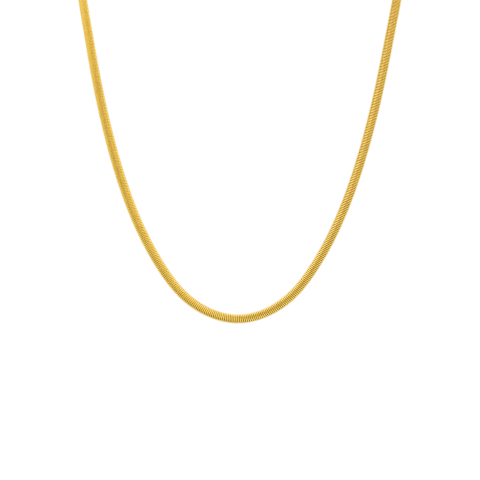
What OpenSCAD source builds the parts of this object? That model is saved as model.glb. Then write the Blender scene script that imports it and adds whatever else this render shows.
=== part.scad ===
/* [Chain] */
// Width of the chain across its face
chain_w = 3.5; // [2.4:0.1:5]
// Thickness of the chain from its face to its back
chain_t = 2.1; // [1.2:0.1:3]
// How square the chain's oval section is, where 2 is an ellipse
chain_squareness = 2.1; // [2:0.1:3]

/* [Loop] */
// Width of the worn loop where the chain lies on the sides of the neck
loop_w = 118; // [100:1:140]
// How far the lowest point of the chain hangs in front of the nape
loop_depth = 101; // [85:1:120]
// How far the lowest point of the chain hangs below the nape
loop_drop = 136; // [110:1:170]
// How far to the left of the nape the lowest point hangs
loop_sway = 1; // [0:0.1:2]

/* [End caps] */
// Length of an end cap's sleeve with its end wall
cap_l = 6; // [5:0.5:9]
// Wall of the sleeve round the chain
cap_wall = 0.4; // [0.3:0.05:0.6]
// Thickness of the wall that closes the sleeve
cap_end_wall = 0.9; // [0.6:0.1:1.4]
// Clearance between the sleeve and the chain, all round
cap_clearance = 0.15; // [0.1:0.05:0.25]
// Clearance between the chain's end and the end wall
end_clearance = 0.1; // [0.1:0.05:0.3]
// How far the chain runs straight out of its cap's mouth before it bends
mouth_run = 1; // [0.5:0.5:3]
// Thickness of the round wire of the loop soldered to a cap
loop_wire = 0.5; // [0.4:0.05:0.7]
// How deep the loop sinks into the end wall where it is soldered
solder = 0.3; // [0.2:0.05:0.4]

/* [Clasp] */
// Length of the clasp
clasp_l = 12; // [11:0.5:16]
// Height of the clasp across its bow
clasp_h = 5.6; // [5:0.1:7]
// Width of the bars at the bow and the eye that the caps' loops hang on
clasp_bar = 0.8; // [0.6:0.05:1]
// Thickness of the clasp at both bars
clasp_tip_t = 0.8; // [0.6:0.05:1]
// Length of the flat of the clasp that rests on the nape
clasp_flat = 3.2; // [2:0.1:4]
// Clearance between a loop and the bar inside it
link_clearance = 0.13; // [0.1:0.01:0.2]

/* [Hidden] */
$fn = 64;
gold = [0.83, 0.66, 0.24];
gold_clasp = [0.86, 0.70, 0.30];
sides = 12;
// The narrow end of the bow's opening: its radius and its distance, as shares of the wide end's radius
opening_narrow = 0.3;
opening_reach = 0.9;

// The closure is as thick as an end cap, and its inner face is on the nape at y 0
closure_t = chain_t + 2 * (cap_wall + cap_clearance);
closure_y = closure_t / 2;
cap_h = chain_w + 2 * (cap_wall + cap_clearance);
loop_hole = sqrt(pow(clasp_bar, 2) + pow(clasp_tip_t, 2)) + 2 * link_clearance;
loop_ring_r = (loop_hole + loop_wire) / 2;
eye_hole = (loop_hole - clasp_bar) / 2 + loop_wire + 2 * link_clearance;
loop_x = clasp_l / 2 - clasp_bar / 2;
cap_x = loop_x + loop_ring_r + loop_wire / 2 - solder;
chain_end_x = cap_x + cap_end_wall + end_clearance;

// The chain's route from the middle of the front up to the side of the neck. Columns: place to the
// side, to the front and in height, as shares of half the loop's width, its depth and its drop,
// then in degrees the turn of the chain's face on the right, its turn on the left and its lift,
// and the rings from this row to the next
ROUTE = [
    [0.000, 1.010, -1.017,   0,   0, 24, 4],
    [0.291, 0.991, -0.965,   0,   1, 23, 4],
    [0.459, 0.954, -0.871,   1,   2, 22, 2],
    [0.592, 0.903, -0.767,   1,   4, 22, 2],
    [0.693, 0.843, -0.659,   2,   8, 22, 2],
    [0.774, 0.777, -0.550,   2,  11, 23, 2],
    [0.841, 0.709, -0.441,   3,  16, 24, 2],
    [0.898, 0.639, -0.333,   4,  23, 26, 2],
    [0.947, 0.565, -0.227,   7,  30, 28, 3],
    [0.998, 0.485, -0.124,  14,  40, 34, 3],
    [1.032, 0.376, -0.034,  42,  62, 42, 3],
    [0.990, 0.222,  0.014,  94, 102, 38, 3],
    [0.820, 0.090,  0.018, 145, 147, 22, 3]
];
// Spacing of the rows that bring the chain straight into its cap
straight_step = cap_l + mouth_run;

function front_row(r) = [
    r[0] * loop_w / 2,
    closure_y - r[1] * loop_depth,
    r[2] * loop_drop,
    r[3],
    r[4],
    r[5],
    r[6]
];
function end_row(k) = [chain_end_x + k * straight_step, closure_y, 0, 180, 180, 0, 1];
half_rows = concat([for (r = ROUTE) front_row(r)], [for (k = [3 : -1 : -1]) end_row(k)]);
half_n = len(half_rows);

// Row i counts from the lowest point: its place, and the turn and lift of the face
function row(i) = swayed(i >= 0 ? right_row(half_rows[i]) : left_row(half_rows[-i]));
function right_row(r) = [r[0], r[1], r[2], r[3], r[5]];
function left_row(r) = [-r[0], r[1], r[2], -r[4], r[5]];

// Moves a row to the left, more the lower it hangs
function swayed(r) =
    let (height = 1 + r[2] / loop_drop)
    [r[0] - loop_sway * (1 - height * height), r[1], r[2], r[3], r[4]];

// A smooth curve past the rows: a cubic B-spline, which also turns the face from row to row
function route_at(t) =
    let (i = min(floor(t), half_n - 3), u = t - i)
    (row(i - 1) * pow(1 - u, 3)
        + row(i) * (3 * pow(u, 3) - 6 * pow(u, 2) + 4)
        + row(i + 1) * (-3 * pow(u, 3) + 3 * pow(u, 2) + 3 * u + 1)
        + row(i + 2) * pow(u, 3)) / 6;

function xyz(r) = [r[0], r[1], r[2]];
function unit(v) = v / norm(v);
function tangent_at(t) =
    let (h = 0.01, a = max(t - h, 2 - half_n), b = min(t + h, half_n - 2))
    unit(xyz(route_at(b)) - xyz(route_at(a)));
function face_dir(turn, lift) = [sin(turn) * cos(lift), -cos(turn) * cos(lift), sin(lift)];
function face_at(t) =
    let (r = route_at(t), d = tangent_at(t), f = face_dir(r[3], r[4]))
    unit(f - (f * d) * d);

// Parameters of the tube's rings, from the lowest point to the right end
right_stops = concat(
    [for (i = [0 : half_n - 3]) for (j = [0 : half_rows[i][6] - 1]) i + j / half_rows[i][6]],
    [half_n - 2]
);
stops = concat(
    [for (i = [len(right_stops) - 1 : -1 : 1]) -right_stops[i]],
    right_stops
);

// A point of the oval section at an angle, as the distance across and the distance out
function oval_share(c) = sign(c) * pow(abs(c), 2 / chain_squareness);
function oval(a) = [chain_w / 2 * oval_share(cos(a)), chain_t / 2 * oval_share(sin(a))];
function ring_at(t) =
    let (p = xyz(route_at(t)), face = face_at(t), across = cross(tangent_at(t), face))
    [for (k = [0 : sides - 1]) let (q = oval(360 * k / sides)) p + q[0] * across + q[1] * face];

module chain() {
    rings = [for (t = stops) ring_at(t)];
    last = len(rings) - 1;
    side_faces = [
        for (i = [0 : last - 1])
            for (k = [0 : sides - 1])
                let (a = i * sides + k, b = i * sides + (k + 1) % sides)
                for (f = [[a, b, a + sides], [b, b + sides, a + sides]]) f
    ];
    ends = [
        [for (k = [sides - 1 : -1 : 0]) k],
        [for (k = [0 : sides - 1]) last * sides + k]
    ];
    color(gold)
        polyhedron([for (r = rings) for (p = r) p], concat(side_faces, ends), convexity = 10);
}

// A flat bar with round ends, as long as l and as wide as w
module round_bar(l, w) {
    square([l - w, w], center = true);
    for (s = [-1, 1])
        translate([s * (l - w) / 2, 0])
            circle(d = w);
}

// Stretches an outline along X, with the outline's length standing up along Z
module along_x(length) {
    rotate([90, 0, 90])
        linear_extrude(length)
            rotate(90)
                children();
}

// Two circles on the X axis and the two straight lines that touch both
module teardrop(x_big, r_big, x_small, r_small) {
    lean = (r_big - r_small) / (x_big - x_small);
    rise = sqrt(1 - lean * lean);
    translate([x_big, 0])
        circle(r_big);
    translate([x_small, 0])
        circle(r_small);
    polygon([
        [x_big - r_big * lean, r_big * rise],
        [x_small - r_small * lean, r_small * rise],
        [x_small - r_small * lean, -r_small * rise],
        [x_big - r_big * lean, -r_big * rise]
    ]);
}

// An end cap on the right: an oval sleeve with a closed end and a loop soldered to it
module end_cap() {
    corner_r = cap_end_wall;
    difference() {
        union() {
            intersection() {
                translate([cap_x, closure_y, 0])
                    along_x(cap_l)
                        round_bar(cap_h, closure_t);
                // Round corners on the closed end, seen from above and from behind
                translate([cap_x, closure_y, -cap_h])
                    linear_extrude(2 * cap_h)
                        soft_end(closure_t, corner_r / 2);
                translate([cap_x, closure_y + closure_t, 0])
                    rotate([90, 0, 0])
                        linear_extrude(2 * closure_t)
                            soft_end(cap_h, corner_r);
            }
            translate([loop_x, closure_y, 0])
                rotate_extrude()
                    translate([loop_ring_r, 0])
                        circle(d = loop_wire, $fn = 32);
            // Solder between the loop and the end wall
            translate([loop_x + loop_ring_r, closure_y, 0])
                rotate([0, 90, 0])
                    cylinder(d = loop_wire, h = loop_wire, $fn = 32);
        }
        translate([cap_x + cap_end_wall, closure_y, 0])
            along_x(cap_l)
                round_bar(chain_w + 2 * cap_clearance, chain_t + 2 * cap_clearance);
    }
}

// The outline of a sleeve that starts at x 0 with corners of radius r there
module soft_end(w, r) {
    translate([r, -w / 2])
        square([cap_l, w]);
    translate([0, -w / 2 + r])
        square([r + cap_l, w - 2 * r]);
    for (s = [-1, 1])
        translate([r, s * (w / 2 - r)])
            circle(r);
}

module end_cap_right() {
    color(gold)
        end_cap();
}

module end_cap_left() {
    color(gold)
        mirror([1, 0, 0])
            end_cap();
}

// The clasp: one plain piece with a wide bow on the right and a small eye on the left
module clasp() {
    bow_r = clasp_h / 2;
    bow_x = clasp_l / 2 - bow_r;
    eye_r = eye_hole / 2 + clasp_bar;
    eye_x = eye_r - clasp_l / 2;
    opening_r = bow_r - clasp_bar;
    narrow_r = opening_narrow * opening_r;
    narrow_x = bow_x - opening_reach * opening_r;
    color(gold_clasp)
        translate([0, closure_y, 0])
            intersection() {
                translate([0, closure_t / 2, 0])
                    rotate([90, 0, 0])
                        linear_extrude(closure_t)
                            difference() {
                                teardrop(bow_x, bow_r, eye_x, eye_r);
                                teardrop(bow_x, opening_r, narrow_x, narrow_r);
                                translate([eye_x, 0])
                                    circle(d = eye_hole, $fn = 32);
                            }
                translate([0, 0, -clasp_h])
                    linear_extrude(2 * clasp_h)
                        clasp_profile();
            }
}

// The clasp from above: flat in the middle, and sloping down to its thin ends
module clasp_profile() {
    thin_x = loop_x - loop_ring_r - loop_wire;
    half_t = closure_t / 2;
    tip = clasp_tip_t / 2;
    polygon([
        [-clasp_l / 2, -tip],
        [-thin_x, -tip],
        [-clasp_flat / 2, -half_t],
        [clasp_flat / 2, -half_t],
        [thin_x, -tip],
        [clasp_l / 2, -tip],
        [clasp_l / 2, tip],
        [thin_x, tip],
        [clasp_flat / 2, half_t],
        [-clasp_flat / 2, half_t],
        [-thin_x, tip],
        [-clasp_l / 2, tip]
    ]);
}

chain();
end_cap_left();
end_cap_right();
clasp();
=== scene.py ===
import math

import bpy
import numpy as np
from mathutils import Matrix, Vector


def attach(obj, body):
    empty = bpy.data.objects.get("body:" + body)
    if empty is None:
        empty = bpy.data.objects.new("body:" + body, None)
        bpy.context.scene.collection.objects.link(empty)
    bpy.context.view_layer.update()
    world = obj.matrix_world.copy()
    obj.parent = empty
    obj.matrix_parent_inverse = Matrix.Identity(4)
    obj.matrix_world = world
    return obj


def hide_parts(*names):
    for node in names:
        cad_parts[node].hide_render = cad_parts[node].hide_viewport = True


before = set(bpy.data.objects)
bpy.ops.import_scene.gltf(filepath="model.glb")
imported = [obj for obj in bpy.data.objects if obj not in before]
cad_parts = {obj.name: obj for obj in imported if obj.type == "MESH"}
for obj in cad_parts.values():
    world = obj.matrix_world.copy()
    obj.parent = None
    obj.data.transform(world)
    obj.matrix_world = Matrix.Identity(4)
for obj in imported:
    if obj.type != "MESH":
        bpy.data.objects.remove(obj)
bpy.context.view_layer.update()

# A millimetre in the scene's metres
MM = 0.001

# The chain's sizes and route, in millimetres, as the part's source has them
CHAIN_W = 3.5
CHAIN_T = 2.1
SQUARENESS = 2.1
LOOP_W = 118
LOOP_DEPTH = 101
LOOP_DROP = 136
LOOP_SWAY = 1
CLOSURE_T = 3.2
CLOSURE_Y = CLOSURE_T / 2
CAP_X = 6.4956
CAP_L = 6
CAP_WALL = 0.4
CAP_END_WALL = 0.9
CAP_H = 4.6
LOOP_X = 5.6
LOOP_RING_R = 0.9457
LOOP_WIRE = 0.5
END_CLEARANCE = 0.1
CHAIN_END_X = CAP_X + CAP_END_WALL + END_CLEARANCE
STRAIGHT_STEP = 7
# Columns: place to the side, to the front and in height as shares, then the face's turn on the
# right, its turn on the left and its lift in degrees
ROUTE = [
    (0.000, 1.010, -1.017, 0, 0, 24),
    (0.291, 0.991, -0.965, 0, 1, 23),
    (0.459, 0.954, -0.871, 1, 2, 22),
    (0.592, 0.903, -0.767, 1, 4, 22),
    (0.693, 0.843, -0.659, 2, 8, 22),
    (0.774, 0.777, -0.550, 2, 11, 23),
    (0.841, 0.709, -0.441, 3, 16, 24),
    (0.898, 0.639, -0.333, 4, 23, 26),
    (0.947, 0.565, -0.227, 7, 30, 28),
    (0.998, 0.485, -0.124, 14, 40, 34),
    (1.032, 0.376, -0.034, 42, 62, 42),
    (0.990, 0.222, 0.014, 94, 102, 38),
    (0.820, 0.090, 0.018, 145, 147, 22),
]

# The photograph's view: straight at the front, with the chain's lowest point some way below the
# middle of the picture
SENSOR_MM = 36
PHOTO_PX = 480
PHOTO_MM_PER_PX = 0.35165
LOWEST_BELOW_MIDDLE_PX = 79.1
VIEW_DISTANCE = 900
VIEW_X = -0.16
VIEW_Z = LOWEST_BELOW_MIDDLE_PX * PHOTO_MM_PER_PX - LOOP_DROP


def make_camera():
    data = bpy.data.cameras.new("photo_camera")
    data.sensor_width = SENSOR_MM
    data.lens = SENSOR_MM * VIEW_DISTANCE / (PHOTO_PX * PHOTO_MM_PER_PX)
    data.clip_start = 0.01
    data.clip_end = 50
    cam = bpy.data.objects.new("photo_camera", data)
    bpy.context.scene.collection.objects.link(cam)
    cam.location = (
        VIEW_X * MM,
        (CLOSURE_Y - LOOP_DEPTH - VIEW_DISTANCE) * MM,
        VIEW_Z * MM,
    )
    cam.rotation_euler = (math.radians(90), 0, 0)
    bpy.context.scene.camera = cam


make_camera()

# Points on the route's curve, before it is read off at even distances
FINE_POINTS = 30001


def route_rows():
    """The route's rows in millimetres and degrees, from the chain's left end to its right end."""
    front = [
        (x * LOOP_W / 2, CLOSURE_Y - y * LOOP_DEPTH, z * LOOP_DROP, right, left, lift)
        for x, y, z, right, left, lift in ROUTE
    ]
    # Level rows bring the chain straight into its cap, the last of them past its end
    ends = [(CHAIN_END_X + k * STRAIGHT_STEP, CLOSURE_Y, 0, 180, 180, 0) for k in (3, 2, 1, 0, -1)]
    half = np.array(front + ends, float)
    right = half[:, [0, 1, 2, 3, 5]]
    left = half[:0:-1, [0, 1, 2, 4, 5]] * (-1, 1, 1, -1, 1)
    rows = np.vstack([left, right])
    rows[:, 0] -= LOOP_SWAY * (1 - (1 + rows[:, 2] / LOOP_DROP) ** 2)
    return rows


def curve_through(rows, t):
    """The cubic B-spline past the rows, at parameters t that count from the lowest point."""
    middle = (len(rows) - 1) // 2
    i = np.clip(np.floor(t).astype(int), 1 - middle, middle - 2)
    u = (t - i)[:, None]
    i = i + middle
    return (
        rows[i - 1] * (1 - u) ** 3
        + rows[i] * (3 * u**3 - 6 * u**2 + 4)
        + rows[i + 1] * (-3 * u**3 + 3 * u**2 + 3 * u + 1)
        + rows[i + 2] * u**3
    ) / 6


def unit(v):
    return v / np.linalg.norm(v, axis=-1, keepdims=True)


class Route:
    """Places by distance along the chain: the middle, and the directions across and out of the face."""

    def __init__(self, step=0.1):
        rows = route_rows()
        last = (len(rows) - 1) // 2 - 1
        t = np.linspace(-last, last, FINE_POINTS)
        fine = curve_through(rows, t)
        gone = np.r_[0, np.cumsum(np.linalg.norm(np.diff(fine[:, :3], axis=0), axis=1))]
        self.length = gone[-1]
        count = int(round(self.length / step)) + 1
        self.s = np.linspace(0, self.length, count)
        points = np.stack([np.interp(self.s, gone, fine[:, k]) for k in range(5)], axis=1)
        turn, lift = np.radians(points[:, 3]), np.radians(points[:, 4])
        self.middle = points[:, :3]
        tangent = unit(np.gradient(self.middle, self.s, axis=0))
        face = np.stack(
            [np.sin(turn) * np.cos(lift), -np.cos(turn) * np.cos(lift), np.sin(lift)], axis=1
        )
        self.face = unit(face - (face * tangent).sum(1, keepdims=True) * tangent)
        self.across = np.cross(tangent, self.face)
        self.tangent = tangent

    def at(self, s, across, out):
        """Places at distances along, across and out of the face, straight on past the chain's ends."""

        def read(table):
            return np.stack([np.interp(s, self.s, table[:, k]) for k in range(3)], axis=-1)

        place = read(self.middle)
        over = np.clip(s - self.length, 0, None) + np.clip(s, None, 0)
        place = place + over[..., None] * read(self.tangent)
        return place + across[..., None] * read(self.across) + out[..., None] * read(self.face)


route = Route()


def mesh_from_quads(name, points, quads):
    """A mesh from points in millimetres and rows of four point numbers."""
    mesh = bpy.data.meshes.new(name)
    mesh.vertices.add(len(points))
    mesh.vertices.foreach_set("co", (points * MM).astype(np.float32).ravel())
    mesh.loops.add(quads.size)
    mesh.loops.foreach_set("vertex_index", quads.astype(np.int32).ravel())
    mesh.polygons.add(len(quads))
    mesh.polygons.foreach_set("loop_start", np.arange(0, quads.size, 4, dtype=np.int32))
    mesh.update(calc_edges=True)
    mesh.validate()
    return mesh


def dress(mesh, material, node):
    """Puts a smooth mesh into the scene in the place of a node of the frame."""
    mesh.polygons.foreach_set("use_smooth", np.ones(len(mesh.polygons), bool))
    mesh.materials.clear()
    mesh.materials.append(material)
    obj = bpy.data.objects.new(mesh.name, mesh)
    bpy.context.scene.collection.objects.link(obj)
    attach(obj, "root")
    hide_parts(node)


# The chain's links. Each is one closed ring: outside a rib whose crest leans toward the chain's left
# end, as a scale does, and beside it a lip that reaches under the next rib. Where there are two
# values, they are at the chain's two edges and at its two faces
LINK_PITCH = 0.65
STRETCHES = 4
# Half a rib's length along the chain, and the depth of the grooves beside it
RIB_HALF = (0.22, 0.26)
GROOVE = (0.30, 0.18)
# The depths of the rib's foot, of the lip and of the link's inner side
RIB_FLOOR = (0.36, 0.30)
LIP_TOP = (0.42, 0.34)
LINK_DEPTH = (0.80, 0.55)
# How far the lip reaches forward and the ring back from the rib's middle
LIP_REACH = 0.56
RING_BACK = 0.12
# A link is bent along the chain: its edges lie this far ahead and its faces this far behind
BOW = 0.13
# Free length kept between the outermost links and the chain's ends
END_MARGIN = 0.02
# Points round a link, and how much they crowd toward its two rounded edges
RING_SIDES = 36
EDGE_CROWDING = 0.18


def section_angles():
    """Angles round the oval, closer together at its two rounded edges."""
    a = np.linspace(0, 2 * math.pi, RING_SIDES, endpoint=False)
    return a - EDGE_CROWDING * np.sin(2 * a)


def power(c, exponent):
    """A power of a number's size, with the number's sign."""
    return np.sign(c) * np.abs(c) ** exponent


def oval(angle, depth):
    """Across and out on the oval section at angles, moved inwards by depths at edges and faces."""
    e = 2 / SQUARENESS
    across = (CHAIN_W / 2 - depth[0]) * power(np.cos(angle), e)
    out = (CHAIN_T / 2 - depth[1]) * power(np.sin(angle), e)
    return across, out


def link_profile():
    """A link's section: distances along the chain in ribs and in millimetres, and the depths."""

    def grooved(share):
        return (share * GROOVE[0], share * GROOVE[1])

    return [
        (-1, 0, RIB_FLOOR),
        (-1, 0, grooved(1)),
        (-0.84, 0, grooved(0.14)),
        (-0.50, 0, grooved(0)),
        (0, 0, grooved(0.14)),
        (0.45, 0, grooved(0.40)),
        (0.86, 0, grooved(0.72)),
        (1, 0, grooved(1)),
        (1, 0, LIP_TOP),
        (0, LIP_REACH, LIP_TOP),
        (0, LIP_REACH, LINK_DEPTH),
        (0, -RING_BACK, LINK_DEPTH),
        (0, -RING_BACK, RIB_FLOOR),
    ]


def make_chain(material):
    """All the links along the route, in a few stretches that are a mesh each."""
    angle = section_angles()
    profile = link_profile()
    at_face = np.sin(angle)[:, None] ** 4
    half = RIB_HALF[0] * (1 - at_face) + RIB_HALF[1] * at_face
    along = half * [p[0] for p in profile] + [p[1] for p in profile]
    rim = [oval(angle, p[2]) for p in profile]
    across = np.stack([a for a, _ in rim], axis=1)
    out = np.stack([o for _, o in rim], axis=1)
    bowed = BOW * np.cos(2 * angle)[:, None]
    sides, rims = along.shape
    # A margin at both ends keeps the lip and the bow inside the chain's length
    first = RIB_HALF[1] + BOW + END_MARGIN
    final = route.length - LIP_REACH - BOW - END_MARGIN
    count = int((final - first) / LINK_PITCH) + 1
    pitch = (final - first) / (count - 1)
    # One link's faces, from each side to the next and from each point of the profile to the next
    side = np.arange(sides)[:, None] * rims
    next_side = (np.arange(sides)[:, None] + 1) % sides * rims
    rim_point = np.arange(rims)[None, :]
    next_point = (rim_point + 1) % rims
    quad = np.stack(
        [side + rim_point, next_side + rim_point, next_side + next_point, side + next_point],
        axis=-1,
    ).reshape(-1, 4)
    bounds = np.linspace(0, count, STRETCHES + 1).round().astype(int)
    for n in range(STRETCHES):
        number = np.arange(bounds[n], bounds[n + 1])
        s = first + number[:, None, None] * pitch + along + bowed
        points = route.at(s, np.broadcast_to(across, s.shape), np.broadcast_to(out, s.shape))
        quads = (quad[None] + np.arange(len(number))[:, None, None] * sides * rims).reshape(-1, 4)
        mesh = mesh_from_quads(f"snake_links_{n + 1}", points.reshape(-1, 3), quads)
        dress(mesh, material, "chain")


# The end caps: lofted oval sleeves with a round closed end, a turned line near the mouth and a bore
CAP_SIDES = 64
# The closed end's corner: how far it reaches in height and along the cap, and in thickness
CORNER = (0.9, 0.45)
# The solder's radius on the end wall, and how far it sinks in
SOLDER_R = 0.55
SOLDER_SINK = 0.1


def cap_outline(inset_z, inset_y):
    """Points round a flat bar with round ends, moved in from the cap's height and thickness."""
    a = (np.arange(CAP_SIDES) + 0.5) * 2 * math.pi / CAP_SIDES
    r = CLOSURE_T / 2 - inset_y
    reach = CAP_H / 2 - inset_z - r
    return CLOSURE_Y + r * np.cos(a), r * np.sin(a) + reach * np.sign(np.sin(a))


def cap_rings():
    """The sleeve's rings, from its closed end out to the mouth and back down the bore.

    Each is its distance from the closed end and how far it is moved in, in height and in thickness.
    """
    flat_end = (0, 1.35, 0.90)
    rings = [flat_end]
    for t in np.radians([90, 75, 60, 45, 30, 15, 0]):
        round_off = 1 - math.cos(t)
        rings.append((CORNER[0] * (1 - math.sin(t)), CORNER[0] * round_off, CORNER[1] * round_off))
    # The turned line and the mouth's rim: distances back from the mouth, and depths
    line = [(1.62, 0), (1.56, 0.02), (1.52, 0.09), (1.44, 0.12), (1.36, 0.09), (1.32, 0.02), (1.26, 0)]
    mouth = [(0.20, 0), (0.10, 0.02), (0.03, 0.07), (0, 0.15), (0, 0.26), (0.03, 0.33), (0.10, 0.38)]
    rings += [(CAP_L - back, inset, inset) for back, inset in line + mouth]
    rings += [(CAP_L - 0.20, CAP_WALL, CAP_WALL), (CAP_END_WALL, CAP_WALL, CAP_WALL)]
    return rings


def torus(centre, ring_r, wire_r, around=48, section=16):
    """A ring that lies in the plane of X and Y."""
    u = np.arange(around)[:, None] * 2 * math.pi / around
    v = np.arange(section)[None, :] * 2 * math.pi / section
    reach = ring_r + wire_r * np.cos(v)
    points = np.stack(
        [
            centre[0] + reach * np.cos(u),
            centre[1] + reach * np.sin(u),
            centre[2] + wire_r * np.sin(v) + 0 * u,
        ],
        axis=-1,
    ).reshape(-1, 3)
    faces = []
    for i in range(around):
        for k in range(section):
            i2, k2 = (i + 1) % around, (k + 1) % section
            faces.append([i * section + k, i2 * section + k, i2 * section + k2, i * section + k2])
    return points, faces


def solder(x, length, thin, wide, section=24, steps=8):
    """A fillet of solder from the loop's wire, thin, to the end wall, wide."""
    share = np.linspace(0, 1, steps)
    r = thin + (wide - thin) * share**3
    v = np.arange(section) * 2 * math.pi / section
    points = np.array(
        [
            (x + s * length, CLOSURE_Y + q * math.cos(a), q * math.sin(a))
            for s, q in zip(share, r)
            for a in v
        ]
    )
    faces = [list(range(section))[::-1], list(range((steps - 1) * section, steps * section))]
    for i in range(steps - 1):
        thin_ring, wide_ring = i * section, (i + 1) * section
        for k in range(section):
            k2 = (k + 1) % section
            faces.append([thin_ring + k, thin_ring + k2, wide_ring + k2, wide_ring + k])
    return points, faces


def make_cap(name, node, side, material):
    """A cap with its loop and solder: on the right for side 1, and its mirror image for side -1."""
    rings = cap_rings()
    points = []
    for x, inset_z, inset_y in rings:
        y, z = cap_outline(inset_z, inset_y)
        points += [(CAP_X + x, yk, zk) for yk, zk in zip(y, z)]
    n = CAP_SIDES
    last = (len(rings) - 1) * n
    faces = [list(range(n)), [last + k for k in range(n)][::-1]]
    for i in range(len(rings) - 1):
        for k in range(n):
            k2 = (k + 1) % n
            faces.append([i * n + k2, i * n + k, (i + 1) * n + k, (i + 1) * n + k2])
    wall_x = LOOP_X + LOOP_RING_R
    for extra_points, extra_faces in (
        torus((LOOP_X, CLOSURE_Y, 0), LOOP_RING_R, LOOP_WIRE / 2),
        solder(wall_x, CAP_X + SOLDER_SINK - wall_x, LOOP_WIRE / 2, SOLDER_R),
    ):
        faces += [[len(points) + k for k in f] for f in extra_faces]
        points += [tuple(q) for q in extra_points]
    points = np.array(points) * (side, 1, 1) * MM
    if side < 0:
        faces = [f[::-1] for f in faces]
    mesh = bpy.data.meshes.new(name)
    mesh.from_pydata(points.tolist(), [], faces)
    mesh.validate()
    dress(mesh, material, node)


# The clasp: a fine even mesh of the plain CAD clasp, thinned toward its outline and polished round
CLASP_VOXEL = 0.075
# The share of its thickness that the clasp loses at its outline
CLASP_CROWN = 0.5
# Polishing steps, and how far a point moves toward its neighbours' middle at each
CLASP_POLISH = 16
CLASP_POLISH_SHARE = 0.5
# Places along the clasp where its height is read, and the height where it has no point
CLASP_PLACES = 60
CLASP_LEAST_HEIGHT = 0.1


def make_clasp(material):
    """The clasp, from a copy of the frame's own, which stays as it is."""
    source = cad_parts["clasp"]
    copy = source.copy()
    copy.data = source.data.copy()
    bpy.context.scene.collection.objects.link(copy)
    even = copy.modifiers.new("even", "REMESH")
    even.mode = "VOXEL"
    even.voxel_size = CLASP_VOXEL * MM
    depsgraph = bpy.context.evaluated_depsgraph_get()
    mesh = bpy.data.meshes.new_from_object(copy.evaluated_get(depsgraph))
    mesh.name = "clasp_body"
    mesh.transform(copy.matrix_world)
    bpy.data.objects.remove(copy)
    points = np.empty(len(mesh.vertices) * 3, np.float32)
    mesh.vertices.foreach_get("co", points)
    points = points.reshape(-1, 3).astype(float) / MM
    # Half the clasp's height along its length, read from the mesh itself
    bins = np.linspace(points[:, 0].min(), points[:, 0].max(), CLASP_PLACES + 1)
    place = np.clip(np.digitize(points[:, 0], bins) - 1, 0, CLASP_PLACES - 1)
    high = np.full(CLASP_PLACES, CLASP_LEAST_HEIGHT)
    for k in np.unique(place):
        high[k] = np.abs(points[place == k, 2]).max()
    reach = np.abs(points[:, 2]) / np.interp(points[:, 0], (bins[1:] + bins[:-1]) / 2, high)
    crown = 1 - CLASP_CROWN * np.clip(reach, 0, 1) ** 4
    points[:, 1] = CLOSURE_Y + (points[:, 1] - CLOSURE_Y) * crown
    edges = np.empty(len(mesh.edges) * 2, np.int32)
    mesh.edges.foreach_get("vertices", edges)
    one, other = edges.reshape(-1, 2).T
    neighbours = np.bincount(np.r_[one, other], minlength=len(points))[:, None]
    for _ in range(CLASP_POLISH):
        total = np.zeros_like(points)
        np.add.at(total, one, points[other])
        np.add.at(total, other, points[one])
        points += CLASP_POLISH_SHARE * (total / neighbours - points)
    mesh.vertices.foreach_set("co", (points * MM).astype(np.float32).ravel())
    mesh.update()
    dress(mesh, material, "clasp")


# The gold's fine detail, as the scale and detail of noise: its two tones, its polish and its
# scratches, and the scratches' depth in metres. Then the clear coat over it
TONE_NOISE = (420, 3)
POLISH_NOISE = (1600, 4)
SCRATCH_NOISE = (5200, 2)
SCRATCH_DEPTH = 0.00002
COAT_ROUGHNESS = 0.1
COAT_IOR = 1.8


def new_material(name):
    """A material with one shader, with its node tree and the shader."""
    m = bpy.data.materials.new(name)
    m.use_nodes = True
    tree = m.node_tree
    tree.nodes.clear()
    out = tree.nodes.new("ShaderNodeOutputMaterial")
    shader = tree.nodes.new("ShaderNodeBsdfPrincipled")
    tree.links.new(shader.outputs["BSDF"], out.inputs["Surface"])
    return m, tree, shader


def gold(name, colour, dark, roughness, scratch):
    """Polished gold under a thin clear coat: two tones in soft patches, and fine wear."""
    m, tree, shader = new_material(name)
    link, new = tree.links.new, tree.nodes.new
    shader.inputs["Metallic"].default_value = 1
    shader.inputs["Coat Weight"].default_value = 1
    shader.inputs["Coat Roughness"].default_value = COAT_ROUGHNESS
    shader.inputs["Coat IOR"].default_value = COAT_IOR
    coords = new("ShaderNodeTexCoord")

    def noise(scale, detail):
        n = new("ShaderNodeTexNoise")
        n.inputs["Scale"].default_value = scale
        n.inputs["Detail"].default_value = detail
        link(coords.outputs["Object"], n.inputs["Vector"])
        return n.outputs["Fac"]

    tint = new("ShaderNodeMix")
    tint.data_type = "RGBA"
    tint.inputs[6].default_value = (*dark, 1)
    tint.inputs[7].default_value = (*colour, 1)
    shade = new("ShaderNodeMapRange")
    shade.inputs["From Min"].default_value = 0.3
    shade.inputs["From Max"].default_value = 0.6
    link(noise(*TONE_NOISE), shade.inputs["Value"])
    link(shade.outputs["Result"], tint.inputs["Factor"])
    link(tint.outputs[2], shader.inputs["Base Color"])

    rough = new("ShaderNodeMapRange")
    rough.inputs["From Min"].default_value = 0.3
    rough.inputs["From Max"].default_value = 0.7
    rough.inputs["To Min"].default_value = roughness[0]
    rough.inputs["To Max"].default_value = roughness[1]
    link(noise(*POLISH_NOISE), rough.inputs["Value"])
    link(rough.outputs["Result"], shader.inputs["Roughness"])

    bump = new("ShaderNodeBump")
    bump.inputs["Strength"].default_value = scratch
    bump.inputs["Distance"].default_value = SCRATCH_DEPTH
    link(noise(*SCRATCH_NOISE), bump.inputs["Height"])
    link(bump.outputs["Normal"], shader.inputs["Normal"])
    return m


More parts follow.
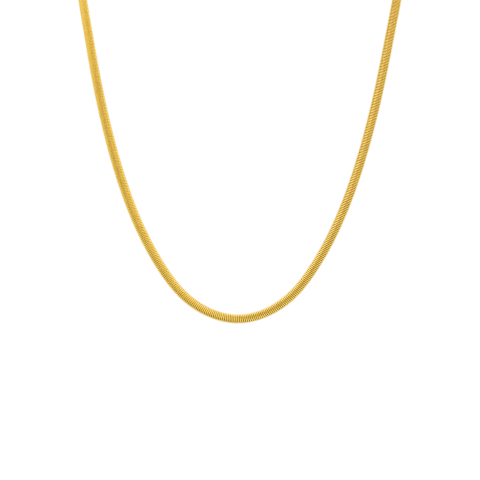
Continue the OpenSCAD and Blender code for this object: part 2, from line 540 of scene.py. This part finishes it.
chain_gold = gold("chain_gold", (0.89, 0.615, 0.06), (0.85, 0.565, 0.045), (0.14, 0.26), 0.15)
fitting_gold = gold("fitting_gold", (0.86, 0.59, 0.08), (0.80, 0.53, 0.06), (0.08, 0.18), 0.1)

make_chain(chain_gold)
make_cap("cap_sleeve_right", "end_cap_right", 1, fitting_gold)
make_cap("cap_sleeve_left", "end_cap_left", -1, fitting_gold)
make_clasp(fitting_gold)


def gild_node(node, material):
    """Gives a node of the frame its gold, under the finer pieces that replace it."""
    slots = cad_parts[node].data.materials
    slots.clear()
    slots.append(material)


gild_node("chain", chain_gold)
for fitting in ("end_cap_left", "end_cap_right", "clasp"):
    gild_node(fitting, fitting_gold)

# What the gold mirrors, by direction: the studio's pale walls, its floor and its ceiling, with the
# heights between which one passes into the other. Then five bright panels and two dark ones, each with
# the cosines from its middle where it begins and where it is full
TENT_WALLS = (0.90, 0.83, 0.58)
TENT_FLOOR = (0.50, 0.48, 0.43)
TENT_CEILING = (1.10, 1.09, 1.07)
FLOOR_TO_WALLS = (-0.6, 0.1)
WALLS_TO_CEILING = (0.6, 0.95)
TENT_PATCHES = [
    ((-0.80, -0.10, 0.58), 0.80, 0.97, (1.22, 1.17, 1.06)),
    ((0.86, -0.45, 0.22), 0.86, 0.97, (1.58, 1.64, 2.05)),
    ((0.60, -0.79, -0.05), 0.91, 0.98, (1.30, 1.20, 0.85)),
    ((-0.28, -0.945, -0.16), 0.92, 0.985, (0.24, 0.19, 0.04)),
    ((-0.05, -0.15, 0.98), 0.84, 0.98, (1.48, 1.57, 2.10)),
    ((0.50, -0.25, 0.83), 0.94, 0.99, (1.45, 1.50, 1.90)),
    ((0.26, -0.56, 0.79), 0.93, 0.985, (0.38, 0.33, 0.20)),
]

# The pale round floor, well below the loop, in metres
FLOOR_COLOUR = (0.88, 0.89, 0.93)
FLOOR_ROUGHNESS = 0.9
FLOOR_RADIUS = 2.0
FLOOR_PLACE = (0, -0.05, -0.42)


def make_floor():
    m, tree, shader = new_material("floor_paper")
    shader.inputs["Base Color"].default_value = (*FLOOR_COLOUR, 1)
    shader.inputs["Roughness"].default_value = FLOOR_ROUGHNESS
    bpy.ops.mesh.primitive_circle_add(
        vertices=96, radius=FLOOR_RADIUS, fill_type="NGON", location=FLOOR_PLACE
    )
    floor = bpy.context.active_object
    floor.name = "floor"
    floor.data.materials.append(m)


def make_world():
    """White for the camera, and for all else a soft tent with bright and dark panels."""
    world = bpy.data.worlds.new("studio")
    world.use_nodes = True
    bpy.context.scene.world = world
    tree = world.node_tree
    tree.nodes.clear()
    link, new = tree.links.new, tree.nodes.new
    coords = new("ShaderNodeTexCoord")

    def ease(value, low, high):
        """From 0 to 1 as a value rises from low to high."""
        node = new("ShaderNodeMapRange")
        node.interpolation_type = "SMOOTHSTEP"
        node.inputs["From Min"].default_value = low
        node.inputs["From Max"].default_value = high
        link(value, node.inputs["Value"])
        return node.outputs["Result"]

    def along(direction):
        """The cosine between a direction of view and the one given."""
        dot = new("ShaderNodeVectorMath")
        dot.operation = "DOT_PRODUCT"
        dot.inputs[1].default_value = direction
        link(coords.outputs["Generated"], dot.inputs[0])
        return dot.outputs["Value"]

    def blend(factor, a, b):
        """A mix of two colours, each given as numbers or by a node."""
        mix = new("ShaderNodeMix")
        mix.data_type = "RGBA"
        link(factor, mix.inputs["Factor"])
        for socket, value in ((mix.inputs[6], a), (mix.inputs[7], b)):
            if isinstance(value, tuple):
                socket.default_value = (*value, 1)
            else:
                link(value, socket)
        return mix.outputs[2]

    up = along((0, 0, 1))
    tent = blend(ease(up, *FLOOR_TO_WALLS), TENT_FLOOR, TENT_WALLS)
    tent = blend(ease(up, *WALLS_TO_CEILING), tent, TENT_CEILING)
    for direction, low, high, colour in TENT_PATCHES:
        tent = blend(ease(along(direction), low, high), tent, colour)
    lit = new("ShaderNodeBackground")
    link(tent, lit.inputs["Color"])
    seen = new("ShaderNodeBackground")
    seen.inputs["Color"].default_value = (1, 1, 1, 1)
    path = new("ShaderNodeLightPath")
    choose = new("ShaderNodeMixShader")
    link(path.outputs["Is Camera Ray"], choose.inputs["Fac"])
    link(lit.outputs["Background"], choose.inputs[1])
    link(seen.outputs["Background"], choose.inputs[2])
    out = new("ShaderNodeOutputWorld")
    link(choose.outputs["Shader"], out.inputs["Surface"])


def soft_light(name, place, target, size, power_w):
    """A white rectangular light that faces a target, in metres and watts."""
    data = bpy.data.lights.new(name, "AREA")
    data.shape = "RECTANGLE"
    data.size, data.size_y = size
    data.energy = power_w
    obj = bpy.data.objects.new(name, data)
    bpy.context.scene.collection.objects.link(obj)
    obj.location = place
    direction = np.array(target) - np.array(place)
    obj.rotation_euler = Vector(direction).to_track_quat("-Z", "Y").to_euler()
    obj.visible_camera = False


make_floor()
make_world()
soft_light("overhead_softbox", (-0.08, -0.30, 1.50), (0, -0.06, -0.05), (1.1, 1.1), 2.0)

scene = bpy.context.scene
scene.view_settings.view_transform = "Standard"
scene.view_settings.look = "None"
# Noise removal would wipe the ribs away, which are under 2 pixels apart in the photograph's frame
scene.cycles.use_denoising = False
